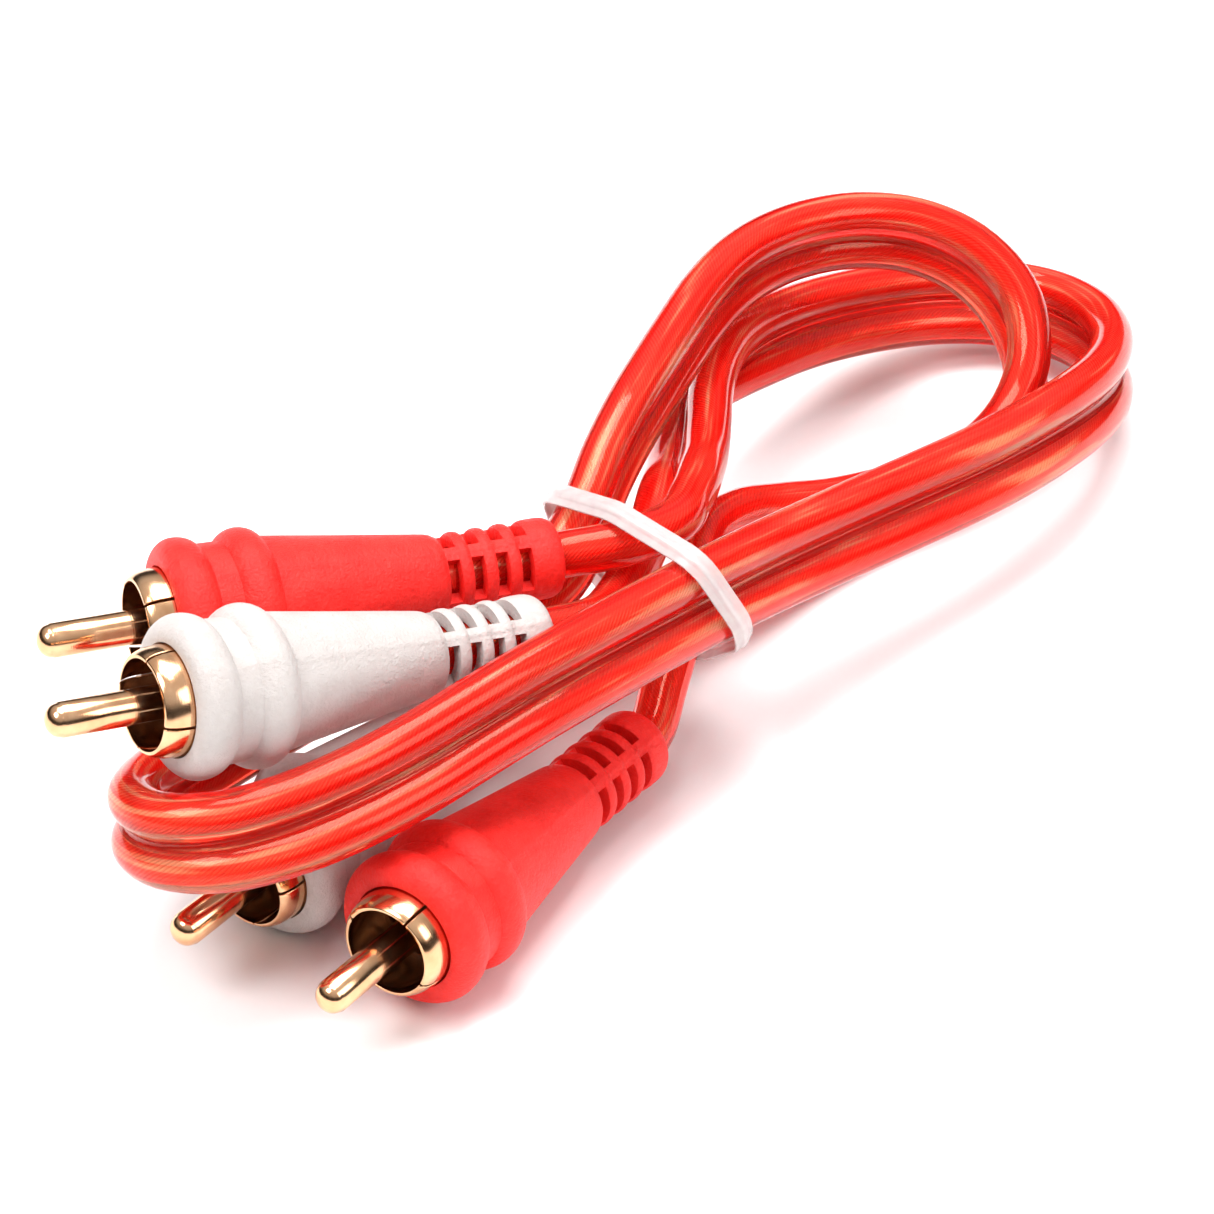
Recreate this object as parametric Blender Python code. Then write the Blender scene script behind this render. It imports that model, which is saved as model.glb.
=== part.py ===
"""Stereo phono patch cable, half a metre long, folded into a hank.

Two red and two white moulded phono plugs sit on the ends of a twin cord.
The two round strands of the cord lie side by side along the hank and part
shortly before each plug.  A clear twist tie holds the hank together.

Frame: +Z is up, the hank lies on the plane z = 0, and the origin is under
the middle of its bounding box.  +X runs from the plugs towards the two
round bends of the hank, and the plugs' noses point to -X and -Y.
Routes and sizes are written in millimetres and scaled to metres by MM.
"""
import bmesh
import bpy
from math import cos, pi, radians, sin, sqrt
from mathutils import Matrix, Vector

MM = 0.001
CENTRE = Vector((1.69, -9.92, 0.0))    # middle of the hank, in route coordinates

# ---------------------------------------------------------------- dimensions
STRAND_RADIUS = 2.2
STRAND_PITCH = 4.6                     # between the two strands of the cord
ROUTE_STEP = 6.4                       # spacing of the points along a strand
CORD_INSET = 11.5                      # how far a strand runs into its boot

PIN_RADIUS = 1.6                       # 3.2 mm centre contact
PIN_REACH = 9.3                        # tip, ahead of the rim of the collar
PIN_TAIL = 14.0
COLLAR_RADIUS = 5.0
COLLAR_RIM_RADIUS = 4.45
COLLAR_WALL = 0.35
COLLAR_LENGTH = 12.0
SLIT_LENGTH = 7.5
SLIT_WIDTH = 0.3
INSULATOR_FRONT = 6.8
INSULATOR_BACK = 10.0
MOULD_FRONT = 10.3
MOULD_BACK = 26.0
BOOT_FRONT = 2.6
BOOT_BACK = 40.5
RELIEF_START = 28.9                    # slotted strain relief
RELIEF_RADIUS = 3.7
WINDOW_FIRST = 29.0
WINDOW_PITCH = 2.35
WINDOW_LENGTH = 1.3
WINDOW_WIDTH = 4.2
WINDOW_ROWS = 4
CORD_BORE = 2.4
CONDUCTOR_RADIUS = 0.8
FIT = 0.15                             # radial clearance between nested pieces

# plug: rim centre of the collar, azimuth and rise of the nose, roll of boot and of collar
PLUGS = {
    "a_red": ((-42.4, -37.8, 25.6), 202.2, 4.5, 21.0, 59.0),
    "a_white": ((-40.4, -54.7, 29.6), 211.2, 10.8, 6.0, 3.0),
    "b_red": ((-19.5, -62.4, 8.1), 236.2, 3.9, 0.0, 62.5),
    "b_white": ((-32.6, -52.4, 7.6), 233.5, 0.9, 12.0, 12.0),
}

# twin cord: middle of the pair, then the way from the white to the red strand
TWIN = [
    (7.0, -5.4, 18.5, 0.9, -0.3, 0.7),
    (8.1, 4.5, 15.8, 0.9, -0.4, 0.7),
    (8.7, 13.6, 15.0, 0.6, -0.5, 0.8),
    (10.3, 20.8, 13.6, 0.2, -0.4, 0.9),
    (14.3, 27.8, 12.2, -0.3, 0.1, 0.9),
    (20.8, 36.8, 9.5, -0.2, 0.5, 0.8),
    (31.0, 44.5, 7.0, 0, 0.6, 0.8),
    (39.6, 47.5, 5.6, 0, 0.6, 0.8),
    (47.0, 46.0, 5.3, 0, 0.5, 0.8),
    (51.7, 40.0, 6.0, 0, 0.5, 0.8),
    (52.3, 30.4, 8.0, 0, 0.5, 0.8),
    (48.3, 19.3, 10.7, 0, 0.5, 0.8),
    (43.1, 11.5, 12.5, 0, 0.6, 0.8),
    (38.7, 5.8, 13.5, 0, 0.6, 0.8),
    (28.4, -3.8, 14.8, 0, 0.6, 0.8),
    (18.3, -13.6, 16.5, 0, 0.6, 0.8),
    (11.3, -22.5, 19.0, 0, 0.6, 0.8),
    (3.0, -33.3, 21.5, 0, 0.6, 0.8),
    (-4.2, -41.2, 22.4, 0, 0.6, 0.8),
    (-11.4, -47.8, 22.0, 0, 0.6, 0.8),
    (-18.2, -54.0, 21.2, 0, 0.6, 0.8),
    (-26.8, -59.3, 20.2, 0, 0.6, 0.8),
    (-31.6, -61.4, 19.8, 0, 0.5, 0.85),
    (-35.6, -61.9, 19.4, 0, 0.3, 0.95),
    (-39.0, -60.6, 18.7, 0, 0.2, 1),
    (-41.5, -57.8, 17.7, -0.05, 0.1, 1),
    (-42.5, -54.0, 16.4, 0, 0, 1),
    (-42.0, -49.8, 15.0, 0, 0, 1),
    (-40.0, -45.8, 13.8, 0, 0, 1),
    (-36.4, -41.4, 13.1, 0.1, -0.1, 1),
    (-31.2, -36.6, 13.3, 0.2, -0.2, 0.95),
    (-24.4, -30.8, 14.0, 0.2, -0.2, 0.95),
    (-15.6, -24.4, 14.9, 0, 0, 1),
    (-7.3, -19.7, 15.5, 0, 0, 1),
    (-3.1, -15.0, 16.9, 0, 0, 1),
    (-1.5, -8.7, 18.9, 0, 0, 1),
    (2.2, 0.7, 21.9, 0, 0, 1),
    (6.0, 10.3, 22.5, 0, 0, 1),
    (10.8, 22.3, 23.0, 0, -0.1, 1),
    (17.6, 32.3, 22.0, 0, -0.2, 1),
    (27.0, 37.3, 21.0, 0, -0.2, 1),
    (35.3, 37.3, 19.0, 0, -0.2, 1),
    (40.9, 33.8, 16.0, 0, -0.1, 1),
    (43.6, 29.5, 11.0, 0, 0, 1),
    (42.6, 24.5, 7.0, 0, 0, 1),
    (39.0, 19.0, 4.8, 0, 0, 1),
    (33.0, 13.5, 4.7, 0, 0, 1),
    (26.0, 9.5, 4.7, 0, 0, 1),
]
# single strands between the twin cord and the plugs
FREE_A_RED = [(0.4, -21.0, 22.5), (3.6, -19.8, 22.7), (6.4, -16.6, 22.2), (7.9, -11.5, 21.2)]
FREE_A_WHITE = [(-1.0, -29.0, 19.9), (1.3, -22.4, 18.1), (3.7, -14.0, 17.8)]
FREE_B_RED = [(20.5, 7.6, 7.2), (15.0, 3.4, 9.8), (10.4, -2.4, 11.8), (8.6, -9.0, 12.0),
              (7.4, -15.0, 10.4), (6.0, -20.4, 7.6), (4.6, -24.4, 5.9)]
FREE_B_WHITE = [(20.0, 3.4, 3.2), (14.2, -2.8, 5.2), (8.6, -8.0, 7.2), (2.6, -11.8, 8.2),
                (-2.8, -14.2, 7.8)]

# twist tie: a flat ring in a plane that stands across the hank
TIE_CENTRE = Vector((5.8, -18.5, 15.0))
TIE_SPAN = 17.0                        # the strands it holds lie within this reach
TIE_AZIMUTH = 43.6                     # direction of the plane's normal
TIE_RISE = 24.0
TIE_WIDTH = 2.3
TIE_THICKNESS = 0.9
TIE_BORE = 0.42
TIE_WIRE_RADIUS = 0.22
TIE_GAP = 0.2                          # between the tie and the strands under it
TIE_STEP = 1.5
TIE_OUT = (0.75, -0.66)                # way that the twisted tails point, in the ring's plane
TIE_TAIL = 4.5
TIE_TURNS = 0.75


# ------------------------------------------------------------------- helpers
def clear_scene():
    for obj in list(bpy.data.objects):
        bpy.data.objects.remove(obj, do_unlink=True)


def make_material(name, colour, roughness, metallic=0.0):
    mat = bpy.data.materials.new(name)
    mat.use_nodes = True
    shader = mat.node_tree.nodes["Principled BSDF"]
    shader.inputs["Base Color"].default_value = (*colour, 1.0)
    shader.inputs["Roughness"].default_value = roughness
    shader.inputs["Metallic"].default_value = metallic
    mat.diffuse_color = (*colour, 1.0)
    return mat


def to_part(point):
    """Route coordinates in millimetres to part coordinates in metres."""
    return (Vector(point) - CENTRE) * MM


def link(name, data, mat, parent=None):
    obj = bpy.data.objects.new(name, data)
    bpy.context.scene.collection.objects.link(obj)
    obj.parent = parent
    if mat is not None:
        data.materials.append(mat)
    return obj


def lathe(name, profile, sides, mat, parent):
    """Turn a closed outline of (distance behind the rim, radius) about the plug's axis."""
    bm = bmesh.new()
    verts = [bm.verts.new((-s * MM, r * MM, 0.0)) for s, r in profile]
    pairs = list(zip(verts, verts[1:]))
    if profile[0][1] > 0.0:
        pairs.append((verts[-1], verts[0]))
    edges = [bm.edges.new(pair) for pair in pairs]
    bmesh.ops.spin(bm, geom=verts + edges, cent=(0, 0, 0), axis=(1, 0, 0), angle=2 * pi,
                   steps=sides, use_merge=True)
    bmesh.ops.remove_doubles(bm, verts=bm.verts, dist=1e-6)
    bmesh.ops.recalc_face_normals(bm, faces=bm.faces)
    mesh = bpy.data.meshes.new(name)
    bm.to_mesh(mesh)
    bm.free()
    mesh.shade_smooth()
    mesh.set_sharp_from_angle(angle=radians(35))
    return link(name, mesh, mat, parent)


def cross_bars(name, starts, length, width, reach, parent):
    """Guide bodies shaped like a plus sign, one behind each start, that cut four ways out."""
    arm = width / 2
    outline = [(arm, reach), (-arm, reach), (-arm, arm), (-reach, arm), (-reach, -arm),
               (-arm, -arm), (-arm, -reach), (arm, -reach), (arm, -arm), (reach, -arm),
               (reach, arm), (arm, arm)]
    bm = bmesh.new()
    for start in starts:
        face = bm.faces.new([bm.verts.new((-start * MM, y * MM, z * MM)) for y, z in outline])
        made = bmesh.ops.extrude_face_region(bm, geom=[face])
        moved = [item for item in made["geom"] if isinstance(item, bmesh.types.BMVert)]
        bmesh.ops.translate(bm, verts=moved, vec=(-length * MM, 0.0, 0.0))
    bmesh.ops.recalc_face_normals(bm, faces=bm.faces)
    mesh = bpy.data.meshes.new(name)
    bm.to_mesh(mesh)
    bm.free()
    cutter = link(name, mesh, None, parent)
    cutter.hide_render = True
    cutter.display_type = "WIRE"
    return cutter


def cut(obj, cutter):
    modifier = obj.modifiers.new("cut", "BOOLEAN")
    modifier.operation = "DIFFERENCE"
    modifier.solver = "EXACT"
    modifier.object = cutter


def nose(azimuth, rise):
    """Unit vector that points out of a plug's nose."""
    turn, lift = radians(azimuth), radians(rise)
    return Vector((cos(turn) * cos(lift), sin(turn) * cos(lift), sin(lift)))


def spline_point(p0, p1, p2, p3, share):
    """Centripetal Catmull-Rom curve between p1 and p2."""
    t0 = 0.0
    t1 = t0 + (p1 - p0).length ** 0.5
    t2 = t1 + (p2 - p1).length ** 0.5
    t3 = t2 + (p3 - p2).length ** 0.5
    t = t1 + (t2 - t1) * share
    a1 = p0.lerp(p1, (t - t0) / (t1 - t0))
    a2 = p1.lerp(p2, (t - t1) / (t2 - t1))
    a3 = p2.lerp(p3, (t - t2) / (t3 - t2))
    b1 = a1.lerp(a2, (t - t0) / (t2 - t0))
    b2 = a2.lerp(a3, (t - t1) / (t3 - t1))
    return b1.lerp(b2, (t - t1) / (t2 - t1))


def smooth(points, step, fine=24):
    """Curve through the points, read at an even spacing close to step."""
    padded = [points[0] * 2 - points[1]] + points + [points[-1] * 2 - points[-2]]
    dense = []
    for four in zip(padded, padded[1:], padded[2:], padded[3:]):
        dense += [spline_point(*four, k / fine) for k in range(fine)]
    dense.append(points[-1])
    return evenly(dense, step)


def evenly(dense, step):
    lengths = [0.0]
    for a, b in zip(dense, dense[1:]):
        lengths.append(lengths[-1] + (b - a).length)
    count = max(2, round(lengths[-1] / step))
    out = []
    j = 0
    for k in range(count + 1):
        target = lengths[-1] * k / count
        while j < len(dense) - 2 and lengths[j + 1] < target:
            j += 1
        share = (target - lengths[j]) / (lengths[j + 1] - lengths[j])
        out.append(dense[j].lerp(dense[j + 1], share))
    return out


def relaxed(points, reach):
    """Running mean that takes small waves out of a row of points and keeps its ends."""
    last = len(points) - 1
    out = []
    for k in range(last + 1):
        near = min(reach, k, last - k)
        span = points[k - near:k + near + 1]
        out.append(sum(span, Vector((0.0, 0.0, 0.0))) / len(span))
    return out


def twin_sides():
    """The red and the white strand of the twin cord."""
    middle = relaxed(smooth([Vector(row[:3]) for row in TWIN], ROUTE_STEP / 8), 8)
    lean = relaxed(smooth_leans(len(middle)), 8)
    red, white = [], []
    for k in range(0, len(middle), 8):
        along = middle[min(k + 1, len(middle) - 1)] - middle[max(k - 1, 0)]
        along.normalize()
        across = lean[k] - along * lean[k].dot(along)
        across.normalize()
        red.append(middle[k] + across * (STRAND_PITCH / 2))
        white.append(middle[k] - across * (STRAND_PITCH / 2))
    return red, white


def smooth_leans(count):
    """The pair's lean at each of the evenly spaced points of the twin cord."""
    rows = [Vector(row[:3]) for row in TWIN]
    marks = [0.0]
    for a, b in zip(rows, rows[1:]):
        marks.append(marks[-1] + (b - a).length)
    out = []
    j = 0
    for k in range(count):
        target = marks[-1] * k / (count - 1)
        while j < len(rows) - 2 and marks[j + 1] < target:
            j += 1
        share = (target - marks[j]) / (marks[j + 1] - marks[j])
        out.append(Vector(TWIN[j][3:]).lerp(Vector(TWIN[j + 1][3:]), share))
    return out


def lead(plug):
    """Points on a plug's axis, from the strand's end inside the boot outwards."""
    rim, azimuth, rise = PLUGS[plug][:3]
    back = -nose(azimuth, rise)
    stations = (BOOT_BACK - CORD_INSET, BOOT_BACK - CORD_INSET / 2, BOOT_BACK, BOOT_BACK + 3.0)
    return [Vector(rim) + back * s for s in stations]


def strand_route(plug_a, free_a, side, free_b, plug_b):
    """One strand, from inside its first boot to inside its second."""
    head = lead(plug_a) + [Vector(p) for p in free_a] + side[:2]
    foot = side[-2:] + [Vector(p) for p in free_b] + lead(plug_b)[::-1]
    first = smooth(head, 1.0)
    last = smooth(foot, 1.0)
    cut_a = min(range(len(first)), key=lambda k: (first[k] - side[0]).length)
    cut_b = min(range(len(last)), key=lambda k: (last[k] - side[-1]).length)
    return evenly(first[:cut_a] + [side[0]], ROUTE_STEP) + side[1:-1] \
        + evenly([side[-1]] + last[cut_b + 1:], ROUTE_STEP)


def tube(name, points, radius, mat):
    """Round cord with closed ends along a route in route coordinates."""
    curve = bpy.data.curves.new(name, "CURVE")
    curve.dimensions = "3D"
    curve.bevel_depth = radius * MM
    curve.bevel_resolution = 2
    curve.use_fill_caps = True
    spline = curve.splines.new("POLY")
    spline.points.add(len(points) - 1)
    for slot, point in zip(spline.points, points):
        slot.co = (*to_part(point), 1.0)
    return link(name, curve, mat)


# --------------------------------------------------------------------- plugs
def build_plug(name, boot_mat, mats):
    rim, azimuth, rise, boot_roll, collar_roll = PLUGS[name]
    holder = link(name + "_plug", None, None)
    holder.location = to_part(rim)
    holder.rotation_euler = (0.0, -radians(rise), radians(azimuth))

    dome = [(-PIN_REACH + PIN_RADIUS * (1 - cos(a)), PIN_RADIUS * sin(a))
            for a in (radians(k * 22.5) for k in range(5))]
    cup = [(PIN_TAIL, PIN_RADIUS), (PIN_TAIL, CONDUCTOR_RADIUS + FIT),
           (10.5, CONDUCTOR_RADIUS + FIT), (10.5, 0.0)]
    lathe(name + "_pin", dome + cup, 16, mats["gold"], holder)

    inner = COLLAR_RADIUS - COLLAR_WALL
    lathe(name + "_insulator", [
        (INSULATOR_FRONT, PIN_RADIUS + FIT), (INSULATOR_FRONT, inner - FIT),
        (INSULATOR_BACK, inner - FIT), (INSULATOR_BACK, PIN_RADIUS + FIT),
    ], 16, mats["insulator"], holder)

    collar = lathe(name + "_collar", [
        (0.0, COLLAR_RIM_RADIUS), (0.8, 4.85), (2.0, COLLAR_RADIUS),
        (COLLAR_LENGTH, COLLAR_RADIUS), (COLLAR_LENGTH, inner), (2.0, inner),
        (0.8, 4.85 - COLLAR_WALL), (0.0, COLLAR_RIM_RADIUS - COLLAR_WALL),
    ], 20, mats["gold"], holder)
    collar.rotation_euler.x = radians(collar_roll)
    cut(collar, cross_bars(name + "_slit_guide", [-1.0], SLIT_LENGTH + 1.0, SLIT_WIDTH,
                           8.0, collar))

    lathe(name + "_mould", [
        (MOULD_FRONT, PIN_RADIUS + FIT), (MOULD_FRONT, 4.3), (15.0, 4.3), (MOULD_BACK, 3.05),
        (MOULD_BACK, CONDUCTOR_RADIUS + FIT), (PIN_TAIL + 0.3, CONDUCTOR_RADIUS + FIT),
        (PIN_TAIL + 0.3, PIN_RADIUS + FIT),
    ], 12, mats["mould"], holder)

    lathe(name + "_conductor", [
        (10.8, 0.0), (10.8, CONDUCTOR_RADIUS), (BOOT_BACK - CORD_INSET - 0.3, CONDUCTOR_RADIUS),
        (BOOT_BACK - CORD_INSET - 0.3, 0.0),
    ], 8, mats["copper"], holder)

    boot = lathe(name + "_boot", [
        (BOOT_FRONT, 6.2), (3.2, 7.1), (4.6, 7.4), (6.0, 7.1), (6.6, 6.55), (8.6, 6.5),
        (9.2, 7.1), (10.5, 7.4), (11.8, 7.0), (12.3, 6.35), (20.0, 5.2), (28.0, 4.0),
        (RELIEF_START - 0.2, RELIEF_RADIUS), (BOOT_BACK - 0.5, RELIEF_RADIUS), (BOOT_BACK, 3.3),
        (BOOT_BACK, CORD_BORE), (MOULD_BACK + 0.3, CORD_BORE), (MOULD_BACK + 0.3, 3.2),
        (15.0, 4.3 + FIT), (COLLAR_LENGTH + 0.3, 4.3 + FIT),
        (COLLAR_LENGTH + 0.3, COLLAR_RADIUS + FIT), (BOOT_FRONT, COLLAR_RADIUS + FIT),
    ], 20, boot_mat, holder)
    rows = [WINDOW_FIRST + WINDOW_PITCH * k for k in range(WINDOW_ROWS)]
    boot.rotation_euler.x = radians(boot_roll)
    cut(boot, cross_bars(name + "_window_guide", rows, WINDOW_LENGTH, WINDOW_WIDTH, 6.0, boot))


# ----------------------------------------------------------------- twist tie
def hull(points):
    """Convex outline of flat points, anticlockwise."""
    def half(row):
        chain = []
        for p in row:
            while len(chain) > 1 and (chain[-1] - chain[-2]).cross(p - chain[-2]) <= 0.0:
                chain.pop()
            chain.append(p)
        return chain[:-1]

    row = sorted(points, key=lambda p: (p.x, p.y))
    return half(row) + half(row[::-1])


def tie_ring(strands, normal, across, upward):
    """Band pulled tight round the strands where they pass the tie's plane."""
    spots = []
    for route in strands:
        for point in smooth(route, 1.0):
            off = point - TIE_CENTRE
            past = max(0.0, abs(off.dot(normal)) - TIE_WIDTH / 2)
            if off.length > TIE_SPAN or past >= STRAND_RADIUS:
                continue
            radius = sqrt(STRAND_RADIUS ** 2 - past ** 2) + TIE_THICKNESS / 2 + TIE_GAP
            for turn in (2 * pi * k / 40 for k in range(40)):
                spots.append(Vector((off.dot(across) + radius * cos(turn),
                                     off.dot(upward) + radius * sin(turn))))
    outline = hull(spots)
    start = max(range(len(outline)), key=lambda k: outline[k].dot(Vector(TIE_OUT)))
    closed = outline[start:] + outline[:start + 1]
    return [(p.x, p.y) for p in evenly(closed, TIE_STEP)]


def tie_frames(strands):
    """Centre, width direction and thickness direction along the whole twist tie."""
    normal = nose(TIE_AZIMUTH, TIE_RISE)
    across = Vector((-sin(radians(TIE_AZIMUTH)), cos(radians(TIE_AZIMUTH)), 0.0))
    upward = normal.cross(across)

    def in_plane(pair):
        return TIE_CENTRE + across * pair[0] + upward * pair[1]

    ring = [in_plane(pair) for pair in tie_ring(strands, normal, across, upward)]
    outward = (in_plane(TIE_OUT) - TIE_CENTRE).normalized()
    knot = ring[0] + outward * TIE_STEP
    side = normal.cross(outward)
    gap = (TIE_THICKNESS + 0.3) / 2

    def tail(sign):
        frames = []
        for k in range(9):
            turn = Matrix.Rotation(2 * pi * TIE_TURNS * k / 8, 3, outward)
            offset = turn @ side * (sign * gap)
            frames.append((knot + outward * (TIE_TAIL * k / 8) + offset, turn @ normal))
        return frames

    ring = smooth([tail(1)[0][0]] + ring[2:-2] + [tail(-1)[0][0]], TIE_STEP)
    line = tail(1)[:0:-1] + [(p, normal) for p in ring] + tail(-1)[1:]
    frames = []
    for k, (point, width) in enumerate(line):
        before = line[max(k - 1, 0)][0]
        after = line[min(k + 1, len(line) - 1)][0]
        along = (after - before).normalized()
        wide = (width - along * width.dot(along)).normalized()
        frames.append((point, wide, along.cross(wide)))
    return frames


def sweep(name, frames, rings, mat):
    """Sweep closed outlines along the frames; a second outline makes a bore."""
    bm = bmesh.new()
    sections = []
    for point, wide, thick in frames:
        row = [[bm.verts.new(to_part(point + wide * w + thick * t)) for w, t in ring]
               for ring in rings]
        sections.append(row)
    for a, b in zip(sections, sections[1:]):
        for ring_a, ring_b in zip(a, b):
            count = len(ring_a)
            for k in range(count):
                bm.faces.new((ring_a[k], ring_a[(k + 1) % count],
                              ring_b[(k + 1) % count], ring_b[k]))
    for end in (sections[0], sections[-1]):
        outer = end[0]
        count = len(outer)
        if len(rings) == 1:
            bm.faces.new(outer)
            continue
        for k in range(count):
            bm.faces.new((outer[k], outer[(k + 1) % count],
                          end[1][(k + 1) % count], end[1][k]))
    bmesh.ops.recalc_face_normals(bm, faces=bm.faces)
    mesh = bpy.data.meshes.new(name)
    bm.to_mesh(mesh)
    bm.free()
    mesh.shade_smooth()
    mesh.set_sharp_from_angle(angle=radians(40))
    return link(name, mesh, mat)


def build_tie(strands, mats):
    frames = tie_frames(strands)
    half_w, half_t = TIE_WIDTH / 2, TIE_THICKNESS / 2
    outer = [(half_w, -half_t * 0.5), (half_w, half_t * 0.5), (0.5, half_t), (-0.5, half_t),
             (-half_w, half_t * 0.5), (-half_w, -half_t * 0.5), (-0.5, -half_t), (0.5, -half_t)]
    bore = [(TIE_BORE * cos(pi * k / 4), TIE_BORE * 0.8 * sin(pi * k / 4)) for k in range(8)]
    sweep("tie_sleeve", frames, [outer, bore], mats["clear"])
    wire = [(TIE_WIRE_RADIUS * cos(pi * k / 4), TIE_WIRE_RADIUS * 0.8 * sin(pi * k / 4))
            for k in range(8)]
    sweep("tie_wire", frames[1:-1], [wire], mats["steel"])


# ---------------------------------------------------------------------- main
def main():
    clear_scene()
    mats = {
        "red": make_material("red_boot", (0.80, 0.020, 0.015), 0.42),
        "white": make_material("white_boot", (0.82, 0.79, 0.76), 0.40),
        "gold": make_material("gold", (0.93, 0.62, 0.24), 0.16, 1.0),
        "insulator": make_material("insulator", (0.10, 0.045, 0.025), 0.45),
        "mould": make_material("mould", (0.75, 0.72, 0.66), 0.50),
        "copper": make_material("copper", (0.78, 0.36, 0.18), 0.35, 1.0),
        "cord": make_material("cord_jacket", (0.83, 0.03, 0.025), 0.18),
        "clear": make_material("tie_plastic", (0.85, 0.72, 0.72), 0.15),
        "steel": make_material("tie_wire", (0.60, 0.59, 0.57), 0.30, 1.0),
    }
    for name in PLUGS:
        boot_mat = mats["red"] if name.endswith("red") else mats["white"]
        build_plug(name, boot_mat, mats)
    red, white = twin_sides()
    red_route = strand_route("a_red", FREE_A_RED, red, FREE_B_RED, "b_red")
    white_route = strand_route("a_white", FREE_A_WHITE, white, FREE_B_WHITE, "b_white")
    tube("strand_red", red_route, STRAND_RADIUS, mats["cord"])
    tube("strand_white", white_route, STRAND_RADIUS, mats["cord"])
    build_tie((red_route, white_route), mats)


main()
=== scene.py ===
"""Stereo phono patch cable in a hank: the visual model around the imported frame."""
from math import cos, pi, radians, sin, sqrt

import bmesh
import bpy
from mathutils import Matrix, Vector


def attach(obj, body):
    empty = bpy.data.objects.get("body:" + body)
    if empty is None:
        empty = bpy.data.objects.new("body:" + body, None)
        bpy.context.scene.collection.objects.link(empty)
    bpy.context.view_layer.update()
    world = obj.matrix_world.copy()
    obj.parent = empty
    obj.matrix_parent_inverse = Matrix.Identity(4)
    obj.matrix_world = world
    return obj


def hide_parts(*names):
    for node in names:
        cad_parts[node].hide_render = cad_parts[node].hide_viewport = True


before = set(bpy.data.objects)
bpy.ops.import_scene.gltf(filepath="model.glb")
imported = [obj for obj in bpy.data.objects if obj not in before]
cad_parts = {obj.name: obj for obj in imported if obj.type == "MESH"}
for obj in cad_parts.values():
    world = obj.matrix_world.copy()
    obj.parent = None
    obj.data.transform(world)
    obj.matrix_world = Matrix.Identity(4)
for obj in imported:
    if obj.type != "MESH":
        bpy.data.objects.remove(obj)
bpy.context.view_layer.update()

MM = 0.001
CENTRE = Vector((1.69, -9.92, 0.0))    # middle of the hank, in route coordinates

# ---------------------------------------------------------------- dimensions
STRAND_RADIUS = 2.2
STRAND_PITCH = 4.6
ROUTE_STEP = 6.4
CORD_INSET = 11.5
BOOT_BACK = 40.5
PLUGS = {
    "a_red": ((-42.4, -37.8, 25.6), 202.2, 4.5, 21.0, 59.0),
    "a_white": ((-40.4, -54.7, 29.6), 211.2, 10.8, 6.0, 3.0),
    "b_red": ((-19.5, -62.4, 8.1), 236.2, 3.9, 0.0, 62.5),
    "b_white": ((-32.6, -52.4, 7.6), 233.5, 0.9, 12.0, 12.0),
}
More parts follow.
